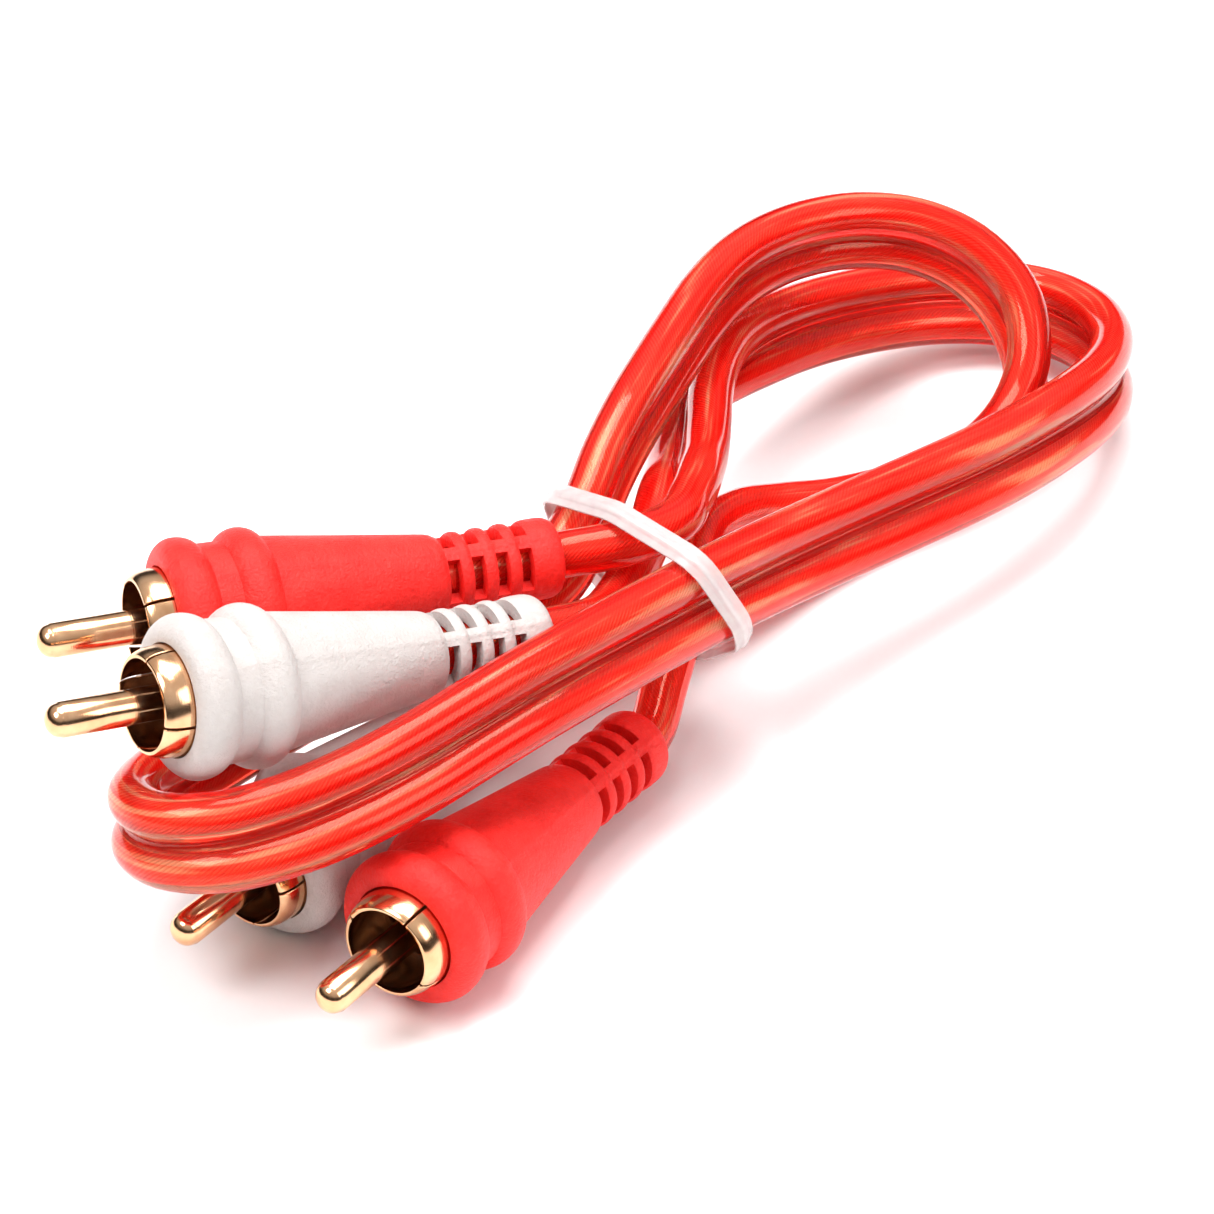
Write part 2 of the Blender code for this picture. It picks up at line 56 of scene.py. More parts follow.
# twin cord: middle of the pair, then the way from the white to the red strand
TWIN = [
    (7.0, -5.4, 18.5, 0.9, -0.3, 0.7),
    (8.1, 4.5, 15.8, 0.9, -0.4, 0.7),
    (8.7, 13.6, 15.0, 0.6, -0.5, 0.8),
    (10.3, 20.8, 13.6, 0.2, -0.4, 0.9),
    (14.3, 27.8, 12.2, -0.3, 0.1, 0.9),
    (20.8, 36.8, 9.5, -0.2, 0.5, 0.8),
    (31.0, 44.5, 7.0, 0, 0.6, 0.8),
    (39.6, 47.5, 5.6, 0, 0.6, 0.8),
    (47.0, 46.0, 5.3, 0, 0.5, 0.8),
    (51.7, 40.0, 6.0, 0, 0.5, 0.8),
    (52.3, 30.4, 8.0, 0, 0.5, 0.8),
    (48.3, 19.3, 10.7, 0, 0.5, 0.8),
    (43.1, 11.5, 12.5, 0, 0.6, 0.8),
    (38.7, 5.8, 13.5, 0, 0.6, 0.8),
    (28.4, -3.8, 14.8, 0, 0.6, 0.8),
    (18.3, -13.6, 16.5, 0, 0.6, 0.8),
    (11.3, -22.5, 19.0, 0, 0.6, 0.8),
    (3.0, -33.3, 21.5, 0, 0.6, 0.8),
    (-4.2, -41.2, 22.4, 0, 0.6, 0.8),
    (-11.4, -47.8, 22.0, 0, 0.6, 0.8),
    (-18.2, -54.0, 21.2, 0, 0.6, 0.8),
    (-26.8, -59.3, 20.2, 0, 0.6, 0.8),
    (-31.6, -61.4, 19.8, 0, 0.5, 0.85),
    (-35.6, -61.9, 19.4, 0, 0.3, 0.95),
    (-39.0, -60.6, 18.7, 0, 0.2, 1),
    (-41.5, -57.8, 17.7, -0.05, 0.1, 1),
    (-42.5, -54.0, 16.4, 0, 0, 1),
    (-42.0, -49.8, 15.0, 0, 0, 1),
    (-40.0, -45.8, 13.8, 0, 0, 1),
    (-36.4, -41.4, 13.1, 0.1, -0.1, 1),
    (-31.2, -36.6, 13.3, 0.2, -0.2, 0.95),
    (-24.4, -30.8, 14.0, 0.2, -0.2, 0.95),
    (-15.6, -24.4, 14.9, 0, 0, 1),
    (-7.3, -19.7, 15.5, 0, 0, 1),
    (-3.1, -15.0, 16.9, 0, 0, 1),
    (-1.5, -8.7, 18.9, 0, 0, 1),
    (2.2, 0.7, 21.9, 0, 0, 1),
    (6.0, 10.3, 22.5, 0, 0, 1),
    (10.8, 22.3, 23.0, 0, -0.1, 1),
    (17.6, 32.3, 22.0, 0, -0.2, 1),
    (27.0, 37.3, 21.0, 0, -0.2, 1),
    (35.3, 37.3, 19.0, 0, -0.2, 1),
    (40.9, 33.8, 16.0, 0, -0.1, 1),
    (43.6, 29.5, 11.0, 0, 0, 1),
    (42.6, 24.5, 7.0, 0, 0, 1),
    (39.0, 19.0, 4.8, 0, 0, 1),
    (33.0, 13.5, 4.7, 0, 0, 1),
    (26.0, 9.5, 4.7, 0, 0, 1),
]
# single strands between the twin cord and the plugs
FREE_A_RED = [(0.4, -21.0, 22.5), (3.6, -19.8, 22.7), (6.4, -16.6, 22.2), (7.9, -11.5, 21.2)]
FREE_A_WHITE = [(-1.0, -29.0, 19.9), (1.3, -22.4, 18.1), (3.7, -14.0, 17.8)]
FREE_B_RED = [(20.5, 7.6, 7.2), (15.0, 3.4, 9.8), (10.4, -2.4, 11.8), (8.6, -9.0, 12.0),
              (7.4, -15.0, 10.4), (6.0, -20.4, 7.6), (4.6, -24.4, 5.9)]
FREE_B_WHITE = [(20.0, 3.4, 3.2), (14.2, -2.8, 5.2), (8.6, -8.0, 7.2), (2.6, -11.8, 8.2),
                (-2.8, -14.2, 7.8)]
# twist tie: a flat ring in a plane that stands across the hank
TIE_CENTRE = Vector((5.8, -18.5, 15.0))
TIE_SPAN = 17.0                        # the strands it holds lie within this reach
TIE_AZIMUTH = 43.6                     # direction of the plane's normal
TIE_RISE = 24.0
TIE_WIDTH = 2.3
TIE_THICKNESS = 0.9
TIE_GAP = 0.2                          # between the tie and the strands under it
TIE_STEP = 1.5
TIE_OUT = (0.75, -0.66)                # way that the twisted tails point, in the ring's plane
TIE_TAIL = 4.5
TIE_TURNS = 0.75


# ------------------------------------------------------------- route helpers
def to_part(point):
    """Route coordinates in millimetres to the frame's metres."""
    return (Vector(point) - CENTRE) * MM


def nose(azimuth, rise):
    """Unit vector that points out of a plug's nose."""
    turn, lift = radians(azimuth), radians(rise)
    return Vector((cos(turn) * cos(lift), sin(turn) * cos(lift), sin(lift)))


def spline_point(p0, p1, p2, p3, share):
    """Centripetal Catmull-Rom curve between p1 and p2."""
    t0 = 0.0
    t1 = t0 + (p1 - p0).length ** 0.5
    t2 = t1 + (p2 - p1).length ** 0.5
    t3 = t2 + (p3 - p2).length ** 0.5
    t = t1 + (t2 - t1) * share
    a1 = p0.lerp(p1, (t - t0) / (t1 - t0))
    a2 = p1.lerp(p2, (t - t1) / (t2 - t1))
    a3 = p2.lerp(p3, (t - t2) / (t3 - t2))
    b1 = a1.lerp(a2, (t - t0) / (t2 - t0))
    b2 = a2.lerp(a3, (t - t1) / (t3 - t1))
    return b1.lerp(b2, (t - t1) / (t2 - t1))


def smooth(points, step, fine=24):
    """Curve through the points, read at an even spacing close to step."""
    padded = [points[0] * 2 - points[1]] + points + [points[-1] * 2 - points[-2]]
    dense = []
    for four in zip(padded, padded[1:], padded[2:], padded[3:]):
        dense += [spline_point(*four, k / fine) for k in range(fine)]
    dense.append(points[-1])
    return evenly(dense, step)


def evenly(dense, step):
    lengths = [0.0]
    for a, b in zip(dense, dense[1:]):
        lengths.append(lengths[-1] + (b - a).length)
    count = max(2, round(lengths[-1] / step))
    out = []
    j = 0
    for k in range(count + 1):
        target = lengths[-1] * k / count
        while j < len(dense) - 2 and lengths[j + 1] < target:
            j += 1
        share = (target - lengths[j]) / (lengths[j + 1] - lengths[j])
        out.append(dense[j].lerp(dense[j + 1], share))
    return out


def relaxed(points, reach):
    """Running mean that takes small waves out of a row of points and keeps its ends."""
    last = len(points) - 1
    out = []
    for k in range(last + 1):
        near = min(reach, k, last - k)
        span = points[k - near:k + near + 1]
        out.append(sum(span, Vector((0.0, 0.0, 0.0))) / len(span))
    return out


def twin_sides():
    """The red and the white strand of the twin cord."""
    middle = relaxed(smooth([Vector(row[:3]) for row in TWIN], ROUTE_STEP / 8), 8)
    lean = relaxed(smooth_leans(len(middle)), 8)
    red, white = [], []
    for k in range(0, len(middle), 8):
        along = middle[min(k + 1, len(middle) - 1)] - middle[max(k - 1, 0)]
        along.normalize()
        across = lean[k] - along * lean[k].dot(along)
        across.normalize()
        red.append(middle[k] + across * (STRAND_PITCH / 2))
        white.append(middle[k] - across * (STRAND_PITCH / 2))
    return red, white


def smooth_leans(count):
    """The pair's lean at each of the evenly spaced points of the twin cord."""
    rows = [Vector(row[:3]) for row in TWIN]
    marks = [0.0]
    for a, b in zip(rows, rows[1:]):
        marks.append(marks[-1] + (b - a).length)
    out = []
    j = 0
    for k in range(count):
        target = marks[-1] * k / (count - 1)
        while j < len(rows) - 2 and marks[j + 1] < target:
            j += 1
        share = (target - marks[j]) / (marks[j + 1] - marks[j])
        out.append(Vector(TWIN[j][3:]).lerp(Vector(TWIN[j + 1][3:]), share))
    return out


def lead(plug):
    """Points on a plug's axis, from the strand's end inside the boot outwards."""
    rim, azimuth, rise = PLUGS[plug][:3]
    back = -nose(azimuth, rise)
    stations = (BOOT_BACK - CORD_INSET, BOOT_BACK - CORD_INSET / 2, BOOT_BACK, BOOT_BACK + 3.0)
    return [Vector(rim) + back * s for s in stations]


def strand_route(plug_a, free_a, side, free_b, plug_b):
    """One strand, from inside its first boot to inside its second."""
    head = lead(plug_a) + [Vector(p) for p in free_a] + side[:2]
    foot = side[-2:] + [Vector(p) for p in free_b] + lead(plug_b)[::-1]
    first = smooth(head, 1.0)
    last = smooth(foot, 1.0)
    cut_a = min(range(len(first)), key=lambda k: (first[k] - side[0]).length)
    cut_b = min(range(len(last)), key=lambda k: (last[k] - side[-1]).length)
    return evenly(first[:cut_a] + [side[0]], ROUTE_STEP) + side[1:-1] \
        + evenly([side[-1]] + last[cut_b + 1:], ROUTE_STEP)


def hull(points):
    """Convex outline of flat points, anticlockwise."""
    def half(row):
        chain = []
        for p in row:
            while len(chain) > 1 and (chain[-1] - chain[-2]).cross(p - chain[-2]) <= 0.0:
                chain.pop()
            chain.append(p)
        return chain[:-1]

    row = sorted(points, key=lambda p: (p.x, p.y))
    return half(row) + half(row[::-1])


def tie_ring(strands, normal, across, upward):
    """Band pulled tight round the strands where they pass the tie's plane."""
    spots = []
    for route in strands:
        for point in smooth(route, 1.0):
            off = point - TIE_CENTRE
            past = max(0.0, abs(off.dot(normal)) - TIE_WIDTH / 2)
            if off.length > TIE_SPAN or past >= STRAND_RADIUS:
                continue
            radius = sqrt(STRAND_RADIUS ** 2 - past ** 2) + TIE_THICKNESS / 2 + TIE_GAP
            for turn in (2 * pi * k / 40 for k in range(40)):
                spots.append(Vector((off.dot(across) + radius * cos(turn),
                                     off.dot(upward) + radius * sin(turn))))
    outline = hull(spots)
    start = max(range(len(outline)), key=lambda k: outline[k].dot(Vector(TIE_OUT)))
    closed = outline[start:] + outline[:start + 1]
    return [(p.x, p.y) for p in evenly(closed, TIE_STEP)]


def tie_frames(strands):
    """Centre, width direction and thickness direction along the whole twist tie."""
    normal = nose(TIE_AZIMUTH, TIE_RISE)
    across = Vector((-sin(radians(TIE_AZIMUTH)), cos(radians(TIE_AZIMUTH)), 0.0))
    upward = normal.cross(across)

    def in_plane(pair):
        return TIE_CENTRE + across * pair[0] + upward * pair[1]

    ring = [in_plane(pair) for pair in tie_ring(strands, normal, across, upward)]
    outward = (in_plane(TIE_OUT) - TIE_CENTRE).normalized()
    knot = ring[0] + outward * TIE_STEP
    side = normal.cross(outward)
    gap = (TIE_THICKNESS + 0.3) / 2

    def tail(sign):
        frames = []
        for k in range(9):
            turn = Matrix.Rotation(2 * pi * TIE_TURNS * k / 8, 3, outward)
            offset = turn @ side * (sign * gap)
            frames.append((knot + outward * (TIE_TAIL * k / 8) + offset, turn @ normal))
        return frames

    ring = smooth([tail(1)[0][0]] + ring[2:-2] + [tail(-1)[0][0]], TIE_STEP)
    line = tail(1)[:0:-1] + [(p, normal) for p in ring] + tail(-1)[1:]
    frames = []
    for k, (point, width) in enumerate(line):
        before = line[max(k - 1, 0)][0]
        after = line[min(k + 1, len(line) - 1)][0]
        along = (after - before).normalized()
        wide = (width - along * width.dot(along)).normalized()
        frames.append((point, wide, along.cross(wide)))
    return frames


# ------------------------------------------------------------- mesh helpers
def link(obj):
    bpy.context.scene.collection.objects.link(obj)
    return obj


def finish_mesh(name, bm, sharp=38):
    bmesh.ops.recalc_face_normals(bm, faces=bm.faces)
    mesh = bpy.data.meshes.new(name)
    bm.to_mesh(mesh)
    bm.free()
    mesh.shade_smooth()
    mesh.set_sharp_from_angle(angle=radians(sharp))
    return link(bpy.data.objects.new(name, mesh))


def add_piece(obj, mat, nodes=()):
    obj.data.materials.append(mat)
    if nodes:
        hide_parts(*nodes)
    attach(obj, "root")
    return obj


def carry(points):
    """Tangent and two turning-free directions at each point of a path."""
    out = []
    side = None
    for k, point in enumerate(points):
        along = (points[min(k + 1, len(points) - 1)] - points[max(k - 1, 0)]).normalized()
        if side is None:
            side = along.cross(Vector((0, 0, 1))).normalized()
        side = (side - along * side.dot(along)).normalized()
        out.append((along, side, along.cross(side)))
    return out


def swept(name, points, ring, sharp=60, frames=None):
    """Closed tube through points (mm), with UVs in millimetres: length, then girth.

    ring(k) gives the outline of section k as (side, up) offsets.
    """
    frames = frames or carry(points)
    bm = bmesh.new()
    uv = bm.loops.layers.uv.new("run")
    rows = []
    travel = [0.0]
    for k, point in enumerate(points):
        if k:
            travel.append(travel[-1] + (point - points[k - 1]).length)
        _, side, up = frames[k]
        rows.append([bm.verts.new(to_part(point + side * a + up * b)) for a, b in ring(k)])
    count = len(rows[0])
    girth = 2 * pi * sum(v[0] ** 2 + v[1] ** 2 for v in ring(0)) ** 0.5 / count ** 0.5
    for k in range(len(rows) - 1):
        for i in range(count):
            j = (i + 1) % count
            face = bm.faces.new((rows[k][i], rows[k][j], rows[k + 1][j], rows[k + 1][i]))
            around = (i, i + 1, i + 1, i)
            for loop, step, turn in zip(face.loops, (k, k, k + 1, k + 1), around):
                loop[uv].uv = (travel[step], girth * turn / count)
    bm.faces.new(rows[0][::-1])
    bm.faces.new(rows[-1])
    return finish_mesh(name, bm, sharp)


def circle(radius, count):
    spots = [(radius * cos(2 * pi * i / count), radius * sin(2 * pi * i / count))
             for i in range(count)]
    return lambda k: spots


def plug_matrix(plug, roll=0.0):
    rim, azimuth, rise = PLUGS[plug][:3]
    return (Matrix.Translation(to_part(rim)) @ Matrix.Rotation(radians(azimuth), 4, "Z")
            @ Matrix.Rotation(-radians(rise), 4, "Y") @ Matrix.Rotation(radians(roll), 4, "X"))


def shell(name, outer, inner, stations, angles, is_hole, swell=None, sharp=38):
    """Thick-walled turned shell with openings; a cell where is_hole is left out."""
    bm = bmesh.new()
    rows = []
    for s in stations:
        row = []
        for a in angles:
            r = outer(s) + (swell(s, a) if swell else 0.0)
            row.append((bm.verts.new((-s * MM, r * cos(a) * MM, r * sin(a) * MM)),
                        bm.verts.new((-s * MM, inner(s) * cos(a) * MM, inner(s) * sin(a) * MM))))
        rows.append(row)
    last, count = len(stations) - 1, len(angles)

    def solid(k, i):
        if not 0 <= k < last:
            return False
        low, high = angles[i % count], angles[(i + 1) % count]
        if high < low:
            high += 2 * pi
        return not is_hole((stations[k] + stations[k + 1]) / 2, (low + high) / 2)

    for k in range(last):
        for i in range(count):
            if not solid(k, i):
                continue
            j = (i + 1) % count
            a, b, c, d = rows[k][i], rows[k][j], rows[k + 1][j], rows[k + 1][i]
            bm.faces.new((a[0], b[0], c[0], d[0]))
            bm.faces.new((a[1], d[1], c[1], b[1]))
            if not solid(k - 1, i):
                bm.faces.new((a[0], a[1], b[1], b[0]))
            if not solid(k + 1, i):
                bm.faces.new((d[0], c[0], c[1], d[1]))
            if not solid(k, i - 1):
                bm.faces.new((a[0], d[0], d[1], a[1]))
            if not solid(k, i + 1):
                bm.faces.new((b[0], b[1], c[1], c[0]))
    bmesh.ops.delete(bm, geom=[v for v in bm.verts if not v.link_faces], context="VERTS")
    return finish_mesh(name, bm, sharp)


def lathe(name, profile, sides, sharp=38):
    """Turn a closed outline of (distance behind the rim, radius) about the plug's axis."""
    bm = bmesh.new()
    verts = [bm.verts.new((-s * MM, r * MM, 0.0)) for s, r in profile]
    pairs = list(zip(verts, verts[1:]))
    if profile[0][1] > 0.0:
        pairs.append((verts[-1], verts[0]))
    edges = [bm.edges.new(pair) for pair in pairs]
    bmesh.ops.spin(bm, geom=verts + edges, cent=(0, 0, 0), axis=(1, 0, 0), angle=2 * pi,
                   steps=sides, use_merge=True)
    bmesh.ops.remove_doubles(bm, verts=bm.verts, dist=1e-6)
    return finish_mesh(name, bm, sharp)


def table(rows):
    """Straight-line reading of (x, y) rows."""
    def read(x):
        for (x0, y0), (x1, y1) in zip(rows, rows[1:]):
            if x <= x1:
                return y0 + (y1 - y0) * max(0.0, x - x0) / (x1 - x0)
        return rows[-1][1]
    return read


def round_edges(obj, width, segments=2, angle=45):
    bevel = obj.modifiers.new("soft edges", "BEVEL")
    bevel.width = width * MM
    bevel.segments = segments
    bevel.limit_method = "ANGLE"
    bevel.angle_limit = radians(angle)
    bevel.harden_normals = False


# ---------------------------------------------------------------- materials
def new_material(name):
    mat = bpy.data.materials.new(name)
    mat.use_nodes = True
    tree = mat.node_tree
    return mat, tree, tree.nodes["Principled BSDF"]


def node(tree, kind, **values):
    made = tree.nodes.new("ShaderNode" + kind)
    for key, value in values.items():
        if key.startswith("in_"):
            made.inputs[key[3:].replace("_", " ")].default_value = value
        else:
            setattr(made, key, value)
    return made


def wire(tree, source, out, target, into):
    tree.links.new(source.outputs[out], target.inputs[into])


def ramp(tree, source, out, stops):
    made = node(tree, "ValToRGB")
    band = made.color_ramp
    while len(band.elements) < len(stops):
        band.elements.new(0.5)
    for element, (spot, colour) in zip(band.elements, stops):
        element.position = spot
        element.color = (*colour, 1.0)
    wire(tree, source, out, made, "Fac")
    return made


def bump(tree, shader, source, out, strength, distance):
    made = node(tree, "Bump")
    made.inputs["Strength"].default_value = strength
    made.inputs["Distance"].default_value = distance
    wire(tree, source, out, made, "Height")
    wire(tree, made, "Normal", shader, "Normal")
    return made


def noise(tree, coords, scale, detail=3.0, rough=0.5):
    made = node(tree, "TexNoise")
    made.inputs["Scale"].default_value = scale
    made.inputs["Detail"].default_value = detail
    made.inputs["Roughness"].default_value = rough
    if coords is not None:
        wire(tree, coords, "Object", made, "Vector")
    return made


def vinyl(name, pale, deep, roughness):
    """Moulded soft vinyl: fine spark-eroded grain, slow colour drift, faint flow marks."""
    mat, tree, shader = new_material(name)
    coords = node(tree, "TexCoord")
    drift = noise(tree, coords, 320.0, 9.0, 0.80)
    tint = ramp(tree, drift, "Fac", [(0.36, deep), (0.62, pale)])
    wire(tree, tint, "Color", shader, "Base Color")
    grain = noise(tree, coords, 2600.0, 4.0, 0.68)
    gloss = node(tree, "MapRange")
    gloss.inputs["To Min"].default_value = roughness - 0.08
    gloss.inputs["To Max"].default_value = roughness + 0.12
    wire(tree, grain, "Fac", gloss, "Value")
    wire(tree, gloss, "Result", shader, "Roughness")
    bump(tree, shader, grain, "Fac", 0.80, 0.00022)
    shader.inputs["Specular IOR Level"].default_value = 0.32
    shader.inputs["Subsurface Weight"].default_value = 0.06
    shader.inputs["Subsurface Radius"].default_value = (1.0, 0.4, 0.3)
    shader.inputs["Subsurface Scale"].default_value = 0.0010
    return mat


def gold(name, roughness=0.13):
    """Bright gold plating over turned brass: fine turning rings and faint handling haze."""
    mat, tree, shader = new_material(name)
    coords = node(tree, "TexCoord")
    haze = noise(tree, coords, 420.0, 5.0, 0.6)
    tint = ramp(tree, haze, "Fac", [(0.30, (0.70, 0.36, 0.18)), (0.72, (0.87, 0.53, 0.31))])
    wire(tree, tint, "Color", shader, "Base Color")
    gloss = node(tree, "MapRange")
    gloss.inputs["To Min"].default_value = roughness - 0.05
    gloss.inputs["To Max"].default_value = roughness + 0.12
    wire(tree, haze, "Fac", gloss, "Value")
    wire(tree, gloss, "Result", shader, "Roughness")
    rings = node(tree, "TexWave", wave_type="BANDS", bands_direction="X")
    rings.inputs["Scale"].default_value = 1400.0
    rings.inputs["Distortion"].default_value = 1.5
    rings.inputs["Detail"].default_value = 2.0
    wire(tree, coords, "Object", rings, "Vector")
    bump(tree, shader, rings, "Fac", 0.08, 0.00002)
    shader.inputs["Metallic"].default_value = 1.0
    return mat


def dark_plastic(name):
    mat, tree, shader = new_material(name)
    coords = node(tree, "TexCoord")
    cloud = noise(tree, coords, 900.0, 3.0)
    tint = ramp(tree, cloud, "Fac", [(0.3, (0.035, 0.016, 0.010)), (0.7, (0.085, 0.040, 0.022))])
    wire(tree, tint, "Color", shader, "Base Color")
    gloss = node(tree, "MapRange")
    gloss.inputs["To Min"].default_value = 0.34
    gloss.inputs["To Max"].default_value = 0.55
    wire(tree, cloud, "Fac", gloss, "Value")
    wire(tree, gloss, "Result", shader, "Roughness")
    bump(tree, shader, cloud, "Fac", 0.2, 0.00005)
    return mat


def jacket_material():
    """Clear red vinyl with faint streaks along its length, whose brightest parts are painted
    golden highlights: most of the light passes through it.
    """
    mat, tree, shader = new_material("clear_red_jacket")
    coords = node(tree, "TexCoord")
    pull = node(tree, "Mapping")
    pull.inputs["Scale"].default_value = (0.035, 0.85, 1.0)
    wire(tree, coords, "UV", pull, "Vector")
    streaks_and_painted_glints = noise(tree, None, 1.0, 3.0, 0.55)
    wire(tree, pull, "Vector", streaks_and_painted_glints, "Vector")
    # Streak tone along the cord: deep red to red, and the top gold stop is painted highlight
    # standing in for glints off the copper core.
    tint = ramp(tree, streaks_and_painted_glints, "Fac", [(0.40, (1.0, 0.014, 0.010)), (0.56, (1.0, 0.07, 0.045)),
                                      (0.66, (1.0, 0.56, 0.31))])
    wire(tree, tint, "Color", shader, "Base Color")
    ripple = noise(tree, coords, 700.0, 2.0)
    bump(tree, shader, ripple, "Fac", 0.10, 0.00006)
    shader.inputs["Transmission Weight"].default_value = 0.77
    shader.inputs["Specular Tint"].default_value = (1.0, 0.70, 0.50, 1.0)
    shader.inputs["IOR"].default_value = 1.42
    shader.inputs["Roughness"].default_value = 0.09
    absorb = node(tree, "VolumeAbsorption")
    absorb.inputs["Color"].default_value = (1.0, 0.20, 0.15, 1.0)
    absorb.inputs["Density"].default_value = 125.0
    wire(tree, absorb, "Volume", tree.nodes["Material Output"], "Volume")
    return mat


def shield_material():
    """Spiral-served copper shield: fine strands that lie at a slant round the core, blended with
    long patches of painted golden highlight.
    """
    mat, tree, shader = new_material("spiral_shield")
    coords = node(tree, "TexCoord")
    turn = node(tree, "Mapping")
    turn.inputs["Rotation"].default_value = (0.0, 0.0, radians(32))
    wire(tree, coords, "UV", turn, "Vector")
    strands = node(tree, "TexWave", wave_type="BANDS", bands_direction="Y")
    strands.inputs["Scale"].default_value = 1.15
    strands.inputs["Distortion"].default_value = 1.2
    strands.inputs["Detail"].default_value = 2.0
    strands.inputs["Detail Scale"].default_value = 0.6
    wire(tree, turn, "Vector", strands, "Vector")
    # Long patches along the core: their ramp runs from red copper to pale gold, and the pale
    # gold is painted highlight standing in for glints off the copper.
    pull = node(tree, "Mapping")
    pull.inputs["Scale"].default_value = (0.09, 0.5, 1.0)
    wire(tree, coords, "UV", pull, "Vector")
    painted_glint_patches = noise(tree, None, 1.0, 3.0)
    wire(tree, pull, "Vector", painted_glint_patches, "Vector")
    blend = node(tree, "Mix", data_type="RGBA")
    fine = ramp(tree, strands, "Fac", [(0.12, (0.84, 0.21, 0.08)), (0.55, (1.0, 0.70, 0.40))])
    painted_glint_tint = ramp(tree, painted_glint_patches, "Fac", [(0.40, (1.0, 0.27, 0.12)), (0.60, (1.0, 0.88, 0.55))])
    blend.inputs["Factor"].default_value = 0.5
    tree.links.new(fine.outputs["Color"], blend.inputs["A"])
    tree.links.new(painted_glint_tint.outputs["Color"], blend.inputs["B"])
    tree.links.new(blend.outputs["Result"], shader.inputs["Base Color"])
    bump(tree, shader, strands, "Fac", 0.60, 0.00010)
    gloss = node(tree, "MapRange")
    gloss.inputs["To Min"].default_value = 0.44
    gloss.inputs["To Max"].default_value = 0.24
    wire(tree, painted_glint_patches, "Fac", gloss, "Value")
    wire(tree, gloss, "Result", shader, "Roughness")
    shader.inputs["Metallic"].default_value = 0.4
    return mat


def tie_material():
    """Thin clear vinyl strip, slightly milky and scuffed."""
    mat, tree, shader = new_material("clear_tie_strip")
    coords = node(tree, "TexCoord")
    cloud = noise(tree, coords, 900.0, 3.0)
    tint = ramp(tree, cloud, "Fac", [(0.3, (0.96, 0.84, 0.84)), (0.7, (1.0, 0.95, 0.94))])
    wire(tree, tint, "Color", shader, "Base Color")
    gloss = node(tree, "MapRange")
    gloss.inputs["To Min"].default_value = 0.12
    gloss.inputs["To Max"].default_value = 0.30
    wire(tree, cloud, "Fac", gloss, "Value")
    wire(tree, gloss, "Result", shader, "Roughness")
    bump(tree, shader, cloud, "Fac", 0.15, 0.00005)
    shader.inputs["Transmission Weight"].default_value = 0.60
    shader.inputs["IOR"].default_value = 1.40
    return mat


def metal(name, dark, light, roughness, scale):
    mat, tree, shader = new_material(name)
    coords = node(tree, "TexCoord")
    cloud = noise(tree, coords, scale, 4.0)
    tint = ramp(tree, cloud, "Fac", [(0.3, dark), (0.7, light)])
    wire(tree, tint, "Color", shader, "Base Color")
    gloss = node(tree, "MapRange")
    gloss.inputs["To Min"].default_value = roughness - 0.06
    gloss.inputs["To Max"].default_value = roughness + 0.12
    wire(tree, cloud, "Fac", gloss, "Value")
    wire(tree, gloss, "Result", shader, "Roughness")
    shader.inputs["Metallic"].default_value = 1.0
    return mat


# ------------------------------------------------------- camera and staging
def build_stage():
    camera = bpy.data.cameras.new("camera")
    camera.sensor_width = 36.0
    camera.lens = 148.3
    camera.clip_start = 0.01
    eye = link(bpy.data.objects.new("camera", camera))
    tilt = radians(36.3)
    target = to_part((0.0, 0.0, 0.0))
    eye.location = target + Vector((0.0, -cos(tilt), sin(tilt))) * 0.496
    eye.rotation_euler = (pi / 2 - tilt, 0.0, 0.0)
    bpy.context.scene.camera = eye

    mesh = bpy.data.meshes.new("floor")
    reach = 3.0
    corners = [(-reach, -reach), (reach, -reach), (reach, reach), (-reach, reach)]
    mesh.from_pydata([(x, y, -0.0002) for x, y in corners], [], [(0, 1, 2, 3)])
    floor = link(bpy.data.objects.new("floor", mesh))
    mat, tree, shader = new_material("floor")
    shader.inputs["Base Color"].default_value = (0.92, 0.92, 0.92, 1.0)
    shader.inputs["Roughness"].default_value = 0.9
    shader.inputs["Specular IOR Level"].default_value = 0.1
    mesh.materials.append(mat)

    for name, spot, size, power in (
            ("key", (-0.45, -0.30, 0.75), 0.40, 6.0),
            ("fill", (0.65, -0.35, 0.50), 0.40, 2.2),
            ("top", (0.05, 0.20, 0.95), 0.60, 11.0)):
        light = bpy.data.lights.new(name, "AREA")
        light.shape = "SQUARE"
        light.size = size
        light.energy = power
        lamp = link(bpy.data.objects.new(name, light))
        lamp.location = spot
        aim = Vector((0.0, 0.0, 0.01)) - lamp.location
        lamp.rotation_euler = aim.to_track_quat("-Z", "Y").to_euler()

    world = bpy.data.worlds.new("studio")
    world.use_nodes = True
    tree = world.node_tree
    coords = node(tree, "TexCoord")
    split = node(tree, "SeparateXYZ")
    wire(tree, coords, "Generated", split, "Vector")
    dome = ramp(tree, split, "Z", [(0.0, (0.03,) * 3), (0.28, (0.05,) * 3), (0.50, (0.60,) * 3),
                                   (1.0, (1.0,) * 3)])
    wire(tree, dome, "Color", tree.nodes["Background"], "Color")
    tree.nodes["Background"].inputs["Strength"].default_value = 0.85
    bpy.context.scene.world = world
    bpy.context.scene.view_settings.view_transform = "Standard"


